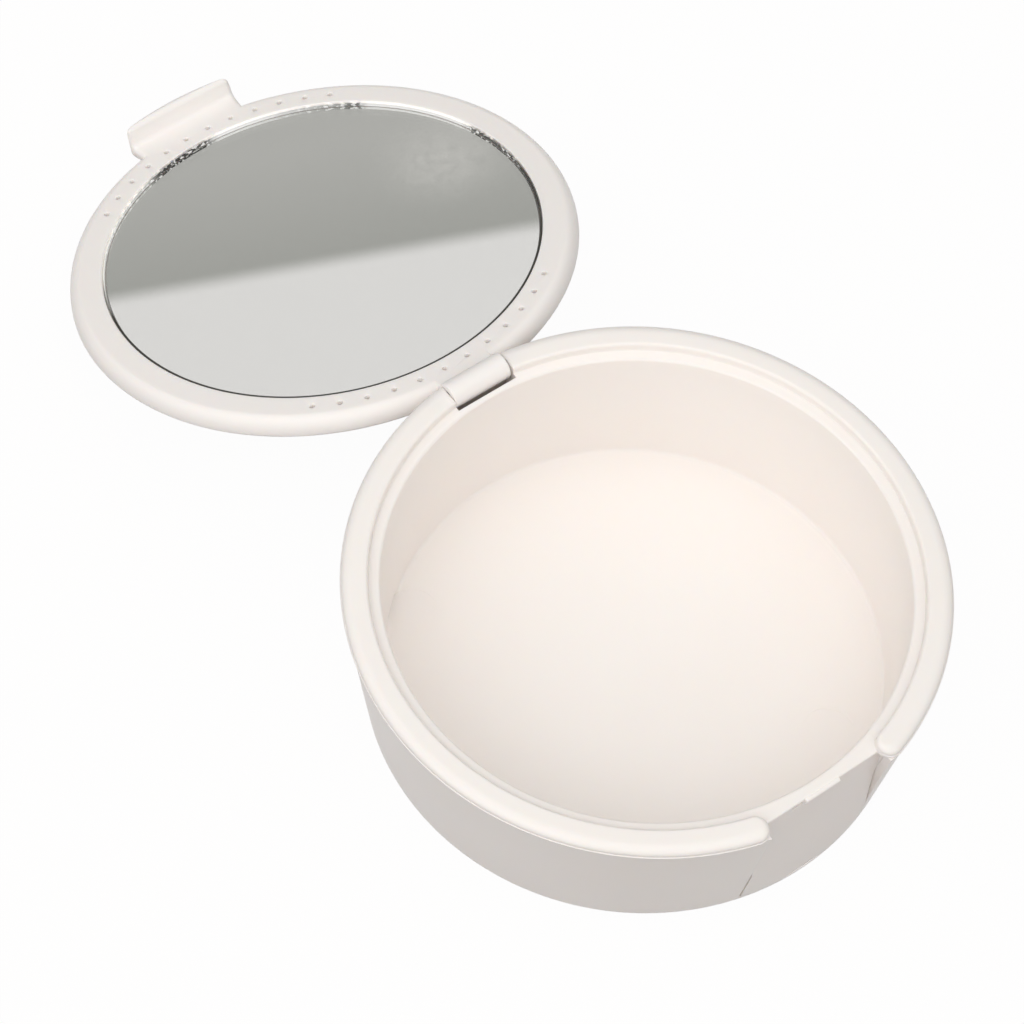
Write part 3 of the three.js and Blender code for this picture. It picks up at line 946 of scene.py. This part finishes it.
def maths(tree, operation, first, second, clamp=False):
    node = add_node(tree, "ShaderNodeMath", {"operation": operation, "use_clamp": clamp})
    set_input(tree, node, 0, first)
    set_input(tree, node, 1, second)
    return node, "Value"


def vector_maths(tree, operation, first, second, output="Value"):
    node = add_node(tree, "ShaderNodeVectorMath", {"operation": operation})
    set_input(tree, node, 0, first)
    set_input(tree, node, 1, second)
    return node, output


def mixed_colour(tree, share, first, second):
    """A mix of two colours, whose sockets go by number, since other kinds of mix share their names."""
    node = add_node(tree, "ShaderNodeMix", {"data_type": "RGBA"}, Factor=share)
    set_input(tree, node, 6, first)
    set_input(tree, node, 7, second)
    return node, 2


def mixed_shader(tree, share, first, second):
    node = add_node(tree, "ShaderNodeMixShader", Fac=share)
    set_input(tree, node, 1, first)
    set_input(tree, node, 2, second)
    return node, "Shader"


def new_material(name):
    material = bpy.data.materials.new(name)
    material.use_nodes = True
    tree = material.node_tree
    tree.nodes.clear()
    return material, tree


# %% Cream polypropylene
# broad clouds of tone where the melt flowed, and ripples from the tool's polish, in metres
FLOW_MARKS = 0.018
POLISH = 0.0025
# the ripples are a few microns deep, drawn a little deeper to show
POLISH_DEPTH = 0.00005


def cream_polypropylene(name, colour, shade):
    """Moulded polypropylene from a polished tool: soft gloss, faint flow marks, light let in."""
    material, tree = new_material(name)
    place = add_node(tree, "ShaderNodeTexCoord")
    broad = {"Scale": 1 / FLOW_MARKS, "Detail": 3.0}
    clouds = add_node(tree, "ShaderNodeTexNoise", broad, Vector=(place, "Object"))
    tone = mixed_colour(tree, (clouds, "Fac"), linear(colour), linear(shade))
    fine = {"Scale": 1 / POLISH, "Detail": 2.0}
    ripple = add_node(tree, "ShaderNodeTexNoise", fine, Vector=(place, "Object"))
    shallow = {"Strength": 0.05, "Distance": POLISH_DEPTH}
    bump = add_node(tree, "ShaderNodeBump", shallow, Height=(ripple, "Fac"))
    gloss = add_node(tree, "ShaderNodeMapRange", {"To Min": 0.30, "To Max": 0.42}, Value=(clouds, "Fac"))
    shader = add_node(
        tree,
        "ShaderNodeBsdfPrincipled",
        {
            "IOR": 1.49,
            "Subsurface Weight": 0.2,
            "Subsurface Radius": (1.0, 0.72, 0.5),
            "Subsurface Scale": 0.0015,
        },
        Base_Color=tone,
        Normal=(bump, "Normal"),
        Roughness=(gloss, "Result"),
    )
    add_node(tree, "ShaderNodeOutputMaterial", Surface=(shader, "BSDF"))
    return material


bowl_plastic = cream_polypropylene("cream_polypropylene_bowl", "#fbf5f1", "#faf3ee")
lid_plastic = cream_polypropylene("cream_polypropylene_lid", "#fbf6f3", "#faf4f0")
print("plastics:", bowl_plastic.name, "and", lid_plastic.name)

# %% [markdown]
# ## The mirror's finish
#
# The pane is clear float glass over a metal film, and both are plain shaders. What makes it look real
# is at its surface and its edge. The greasy patch mixes a little scattering into the glass, on its
# upper face only. The ground edge shows long bright and dark stretches of reflected light; to reflect
# them would take a whole room, so they are painted reflections, run round the rim by angle by a colour
# ramp, and the edge's glow is painted light too.


# %% Mirror, tape and pin
def simple(name, colour, settings, grain, depth):
    """A material of one colour with a fine grain, given in metres, in its surface."""
    material, tree = new_material(name)
    place = add_node(tree, "ShaderNodeTexCoord")
    fine = {"Scale": 1 / grain, "Detail": 2.0}
    noise = add_node(tree, "ShaderNodeTexNoise", fine, Vector=(place, "Object"))
    bump = add_node(tree, "ShaderNodeBump", {"Strength": 0.1, "Distance": depth}, Height=(noise, "Fac"))
    shader = add_node(
        tree, "ShaderNodeBsdfPrincipled", {"Base Color": linear(colour), **settings}, Normal=(bump, "Normal")
    )
    add_node(tree, "ShaderNodeOutputMaterial", Surface=(shader, "BSDF"))
    return material


CLEAR = {"Roughness": 0.0, "IOR": 1.52, "Transmission Weight": 1.0}
FILM = {"Roughness": 0.0, "Metallic": 1.0}
FOAM = {"Roughness": 0.9}
WIRE = {"Roughness": 0.3, "Metallic": 1.0}
float_glass = simple("float_glass", "#ffffff", CLEAR, grain=0.02, depth=0.000001)
silver_film = simple("silver_film", "#f4f5f3", FILM, grain=0.015, depth=0.000002)
foam_tape = simple("foam_tape", "#dcd8cf", FOAM, grain=0.0006, depth=0.0001)
drawn_steel = simple("drawn_steel", "#b9bbbe", WIRE, grain=0.0005, depth=0.00001)
print("plain materials:", float_glass.name, silver_film.name, foam_tape.name, drawn_steel.name)

# %% Finger marks on the mirror
SMUDGE_PLACE = LID_PLACE @ Vector((0.0245, 0.043, 0))
SMUDGE_REACH = 0.013
SMUDGE_GRAIN = 0.0035
SMUDGE_SHARE = 0.45
MIRROR_UP = (LID_PLACE.to_3x3() @ Vector((0, 0, 1))).normalized()


def add_smudge(material):
    """A faint greasy patch: there the glass scatters a little light instead of letting it through."""
    tree = material.node_tree
    glass_shader = next(node for node in tree.nodes if node.type == "BSDF_PRINCIPLED")
    output = next(node for node in tree.nodes if node.type == "OUTPUT_MATERIAL")
    place = add_node(tree, "ShaderNodeTexCoord")
    pattern = {"Scale": 1 / SMUDGE_GRAIN, "Detail": 4.0, "Distortion": 1.5}
    marks = add_node(tree, "ShaderNodeTexNoise", pattern, Vector=(place, "Object"))
    distance = vector_maths(tree, "DISTANCE", (place, "Object"), SMUDGE_PLACE)
    fade = {"From Max": SMUDGE_REACH, "To Min": SMUDGE_SHARE, "To Max": 0.0}
    fade["interpolation_type"] = "SMOOTHSTEP"
    patch = add_node(tree, "ShaderNodeMapRange", fade, Value=distance)
    amount = maths(tree, "MULTIPLY", (patch, "Result"), (marks, "Fac"))
    # the grease lies on the glass's upper face only, and counts once, on the way in
    surface = add_node(tree, "ShaderNodeNewGeometry")
    upper = vector_maths(tree, "DOT_PRODUCT", (surface, "Normal"), MIRROR_UP)
    way_in = maths(tree, "SUBTRACT", upper, (surface, "Backfacing"), clamp=True)
    on_top = maths(tree, "MULTIPLY", amount, way_in)
    grease = add_node(tree, "ShaderNodeBsdfDiffuse", {"Color": linear("#f1efeb")})
    smeared = mixed_shader(tree, on_top, (glass_shader, "BSDF"), (grease, "BSDF"))
    set_input(tree, output, "Surface", smeared)


add_smudge(float_glass)
print(f"finger marks: {2 * SMUDGE_REACH / MM:.0f} mm across")

# %% The ground edge of the glass
CHIP_SIZE = 0.0007
MIRROR_CENTRE = LID_PLACE @ Vector((0, HINGE_Y * MM, -MIRROR_DROP * MM))
MIRROR_ALONG = (LID_PLACE.to_3x3() @ Vector((0, 1, 0))).normalized()
# tones of the painted reflections on the glass's ground edge
BRIGHT, PALE = linear("#f6f6f4"), linear("#d0d1cd")
GREY, DARK = linear("#a9aaa6"), linear("#33332f")
# painted reflections: the tones that the ground edge reflects, given by angle round the rim
EDGE_PAINTED_REFLECTIONS = (
    (11, DARK),
    (15, BRIGHT),
    (44, BRIGHT),
    (47, DARK),
    (51, GREY),
    (76, BRIGHT),
    (86, BRIGHT),
    (90, DARK),
    (106, DARK),
    (112, PALE),
    (150, PALE),
    (166, DARK),
)
# the side on which the edge's chips are drawn as painted glints
CHIP_GLINT_SIDE = math.radians(65)


def painted_edge_reflections():
    """The glass's edge, cut and ground, with painted reflections: long bright and dark stretches, chips
    drawn as painted glints on the far side, and a painted glow.
    """
    material, tree = new_material("glass_edge_painted_reflections")
    place = add_node(tree, "ShaderNodeTexCoord")
    from_middle = vector_maths(tree, "SUBTRACT", (place, "Object"), MIRROR_CENTRE, "Vector")
    across = vector_maths(tree, "DOT_PRODUCT", from_middle, (1, 0, 0))
    along = vector_maths(tree, "DOT_PRODUCT", from_middle, MIRROR_ALONG)
    angle = maths(tree, "ARCTAN2", along, across)
    around = {"From Min": -math.pi, "From Max": math.pi}
    turn = add_node(tree, "ShaderNodeMapRange", around, Value=angle)
    stretches = add_node(tree, "ShaderNodeValToRGB", Fac=(turn, "Result"))
    ramp = stretches.color_ramp
    for degrees, colour in EDGE_PAINTED_REFLECTIONS:
        ramp.elements.new(degrees / 360 + 0.5).color = colour
    ramp.elements[0].color = ramp.elements[-1].color = DARK
    fine = {"Scale": 1 / CHIP_SIZE, "Detail": 2.0}
    chips = add_node(tree, "ShaderNodeTexNoise", fine, Vector=(place, "Object"))
    worn = {"From Min": 0.52, "From Max": 0.6}
    chipped = add_node(tree, "ShaderNodeMapRange", worn, Value=(chips, "Fac"))
    # real chips, drawn as painted glints in the bright tone, on the far side only, where the edge is seen
    # through the pane
    chip_glint_way = Vector((math.cos(CHIP_GLINT_SIDE), 0, 0)) + MIRROR_ALONG * math.sin(CHIP_GLINT_SIDE)
    towards = vector_maths(tree, "DOT_PRODUCT", from_middle, chip_glint_way)
    far = {"From Min": 0.006, "From Max": 0.012}
    far_side = add_node(tree, "ShaderNodeMapRange", far, Value=towards)
    chip_glints = maths(tree, "MULTIPLY", (chipped, "Result"), (far_side, "Result"))
    tone = mixed_colour(tree, chip_glints, (stretches, "Color"), BRIGHT)
    # painted light: the edge glows, standing in for the light that the whole pane would gather and bring to
    # it
    glow = {"Roughness": 0.35, "Emission Strength": 0.55}
    shader = add_node(tree, "ShaderNodeBsdfPrincipled", glow, Base_Color=tone, Emission_Color=tone)
    add_node(tree, "ShaderNodeOutputMaterial", Surface=(shader, "BSDF"))
    return material


# the glass's edge material, with painted reflections and a painted glow
glass_edge_painted_reflections = painted_edge_reflections()
print("ground edge:", len(EDGE_PAINTED_REFLECTIONS), "stops of tone")

# %% [markdown]
# ## Dress the pieces
#
# Each moulding replaces its CAD node and rides on the body that this node belongs to, so it moves with
# the hinge. The pin and the tape keep their CAD shape and only get a material.

# %% Dress the pieces
# the pane's flat faces lean with the lid, and all steeper faces are its edge
EDGE_SLOPE = 0.92


def dressed(piece, material, body, slot, *nodes):
    piece.data.materials.clear()
    piece.data.materials.append(material)
    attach(piece, body)
    if nodes:
        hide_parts(*nodes)


dressed(shell, bowl_plastic, "bowl", "bowl_plastic", "outer_shell")
dressed(tub, bowl_plastic, "bowl", "bowl_plastic", "inner_tub")
dressed(lid, lid_plastic, "lid", "lid_plastic", "lid")
dressed(glass, float_glass, "lid", "mirror_glass", "mirror")
glass.data.materials.append(glass_edge_painted_reflections)
for face in glass.data.polygons:
    face.material_index = 1 if abs(face.normal.z) < EDGE_SLOPE else 0
dressed(silver, silver_film, "lid", "mirror_glass")
for node, material in (("hinge_pin", drawn_steel), ("mirror_adhesive", foam_tape)):
    kept = frame["nodes"][node]
    kept.data.materials.clear()
    kept.data.materials.append(material)

# %% [markdown]
# ## Camera
#
# The photograph was taken with a long lens from in front, left and above. The camera aims at a point
# on the bowl's axis, a little below the rim, then turns so that the case lies where it does in the
# frame, and rolls about its own axis.

# %% Camera
FRAME_PX = 1024
FOCAL_PX = 3728.8
AZIMUTH, ELEVATION, ROLL = (math.radians(angle) for angle in (-45.09, 59.35, 9.124))
DISTANCE = 12.205 * RIM_RADIUS
AIM_PX = (145.03, 61.33)
AIM_HEIGHT = RIM_RADIUS / 2
SENSOR_MM = 36.0

to_camera = Vector(
    (
        math.sin(AZIMUTH) * math.cos(ELEVATION),
        -math.cos(AZIMUTH) * math.cos(ELEVATION),
        math.sin(ELEVATION),
    )
)
view = -to_camera
right = view.cross(Vector((0, 0, 1))).normalized()
up = right.cross(view)
pan = math.atan2(AIM_PX[0], FOCAL_PX)
nod = math.atan2(AIM_PX[1], math.hypot(FOCAL_PX, AIM_PX[0]))
turn = Matrix.Rotation(pan, 3, up)
view, right = turn @ view, turn @ right
turn = Matrix.Rotation(nod, 3, right)
view, up = turn @ view, turn @ up
rolled_right = right * math.cos(ROLL) + up * math.sin(ROLL)
rolled_up = up * math.cos(ROLL) - right * math.sin(ROLL)

camera_data = bpy.data.cameras.new("camera")
camera_data.sensor_width = SENSOR_MM
camera_data.lens = FOCAL_PX * SENSOR_MM / FRAME_PX
camera = bpy.data.objects.new("camera", camera_data)
place = to_camera * DISTANCE * MM + Vector((0, 0, AIM_HEIGHT * MM))
axes = Matrix((rolled_right, rolled_up, -view)).transposed()
camera.matrix_world = Matrix.Translation(place) @ axes.to_4x4()
bpy.context.scene.collection.objects.link(camera)
bpy.context.scene.camera = camera
print("camera at", [round(value / MM) for value in place], "mm")

# %% [markdown]
# ## Table, room and light
#
# The table and the backdrop look pure white to the camera, and to the mirror, because most of what
# they show is a glow of their own, and not because more light falls on the case. To the light itself
# the table is a mid grey, so that little bounces up to the case's outside. The light falls from above
# and in front, as the broad soft boxes of a product studio do, so the bowl's inner walls are bright.
# The mirror shows a room with a light ceiling over a grey wall, with a soft straight edge between.

# %% Table
TABLE_SIZE = 4.0
GLOW_SHARE = 0.88
GLOW_STRENGTH = 1.1
bm = bmesh.new()
bmesh.ops.create_grid(bm, x_segments=8, y_segments=8, size=TABLE_SIZE / 2)
table = piece_from(bm, "table")
table_material, tree = new_material("white_table")
path = add_node(tree, "ShaderNodeLightPath")
bounced = maths(tree, "MAXIMUM", (path, "Is Glossy Ray"), (path, "Is Transmission Ray"))
seen = maths(tree, "MAXIMUM", (path, "Is Camera Ray"), bounced)
share = maths(tree, "MULTIPLY", seen, GLOW_SHARE)
paper = add_node(tree, "ShaderNodeBsdfDiffuse", {"Color": linear("#827a77")})
glow = add_node(tree, "ShaderNodeEmission", {"Color": (1, 1, 1, 1), "Strength": GLOW_STRENGTH})
white_paper = mixed_shader(tree, share, (paper, "BSDF"), (glow, "Emission"))
add_node(tree, "ShaderNodeOutputMaterial", Surface=white_paper)
table.data.materials.append(table_material)
print("table:", TABLE_SIZE, "m across")

# %% Room
EDGE_NORMAL = (0.3100, 0.3346, -0.8899)
EDGE_SOFTNESS = 0.0027
WALL_FADE = 0.03
LIGHT_LOW, LIGHT_HIGH = 0.1, 1.0
LIGHT_FROM = Vector((-0.17, -0.36, 0.88)).normalized()
LIGHT_START, LIGHT_FULL = 0.05, 0.8
world = bpy.data.worlds.new("room")
bpy.context.scene.world = world
world.use_nodes = True
tree = world.node_tree
tree.nodes.clear()
sky = add_node(tree, "ShaderNodeTexCoord")
height = vector_maths(tree, "DOT_PRODUCT", (sky, "Generated"), EDGE_NORMAL)
soft = {"From Min": -EDGE_SOFTNESS, "From Max": EDGE_SOFTNESS, "interpolation_type": "SMOOTHSTEP"}
edge = add_node(tree, "ShaderNodeMapRange", soft, Value=height)
wall = add_node(tree, "ShaderNodeMapRange", {"From Max": WALL_FADE}, Value=height)
wall_tone = mixed_colour(tree, (wall, "Result"), linear("#a6a6a2"), linear("#b5b4b1"))
seen_room = mixed_colour(tree, (edge, "Result"), linear("#e2e0df"), wall_tone)
path = add_node(tree, "ShaderNodeLightPath")
reflected = maths(tree, "MAXIMUM", (path, "Is Glossy Ray"), (path, "Is Transmission Ray"))
towards_light = vector_maths(tree, "DOT_PRODUCT", (sky, "Generated"), LIGHT_FROM)
levels = {"From Min": LIGHT_START, "From Max": LIGHT_FULL, "To Min": LIGHT_LOW, "To Max": LIGHT_HIGH}
strength = add_node(tree, "ShaderNodeMapRange", levels, Value=towards_light)
light = add_node(tree, "ShaderNodeBackground", {"Color": linear("#fffefc")}, Strength=(strength, "Result"))
white = add_node(tree, "ShaderNodeBackground", {"Color": (1, 1, 1, 1), "Strength": 1.0})
room = add_node(tree, "ShaderNodeBackground", {"Strength": 1.0}, Color=seen_room)
lit_or_seen = mixed_shader(tree, reflected, (light, "Background"), (room, "Background"))
backdrop = mixed_shader(tree, (path, "Is Camera Ray"), lit_or_seen, (white, "Background"))
add_node(tree, "ShaderNodeOutputWorld", Surface=backdrop)
print("room: light comes from", [round(value, 2) for value in LIGHT_FROM])


# %% Lamps
SOFTBOX_SIZE = 0.9
SOFTBOX_AIM = Vector((0, 0.02, 0.01))
OVERHEAD_PLACE, OVERHEAD_POWER = (-0.28, -0.24, 0.86), 1.4
LEFT_PLACE, LEFT_POWER = (-0.65, 0.15, 0.5), 1.4


def softbox(name, place, power):
    """A round soft box, placed in metres and aimed at the case, with its power in watts."""
    data = bpy.data.lights.new(name, "AREA")
    data.shape = "DISK"
    data.size = SOFTBOX_SIZE
    data.energy = power
    lamp = bpy.data.objects.new(name, data)
    lamp.location = place
    direction = SOFTBOX_AIM - Vector(place)
    lamp.rotation_euler = direction.to_track_quat("-Z", "Y").to_euler()
    lamp.visible_glossy = False
    lamp.visible_transmission = False
    bpy.context.scene.collection.objects.link(lamp)


softbox("overhead_softbox", OVERHEAD_PLACE, OVERHEAD_POWER)
softbox("left_softbox", LEFT_PLACE, LEFT_POWER)
print("soft boxes:", OVERHEAD_POWER, "and", LEFT_POWER, "W")

scene = bpy.context.scene
scene.view_settings.view_transform = "Standard"
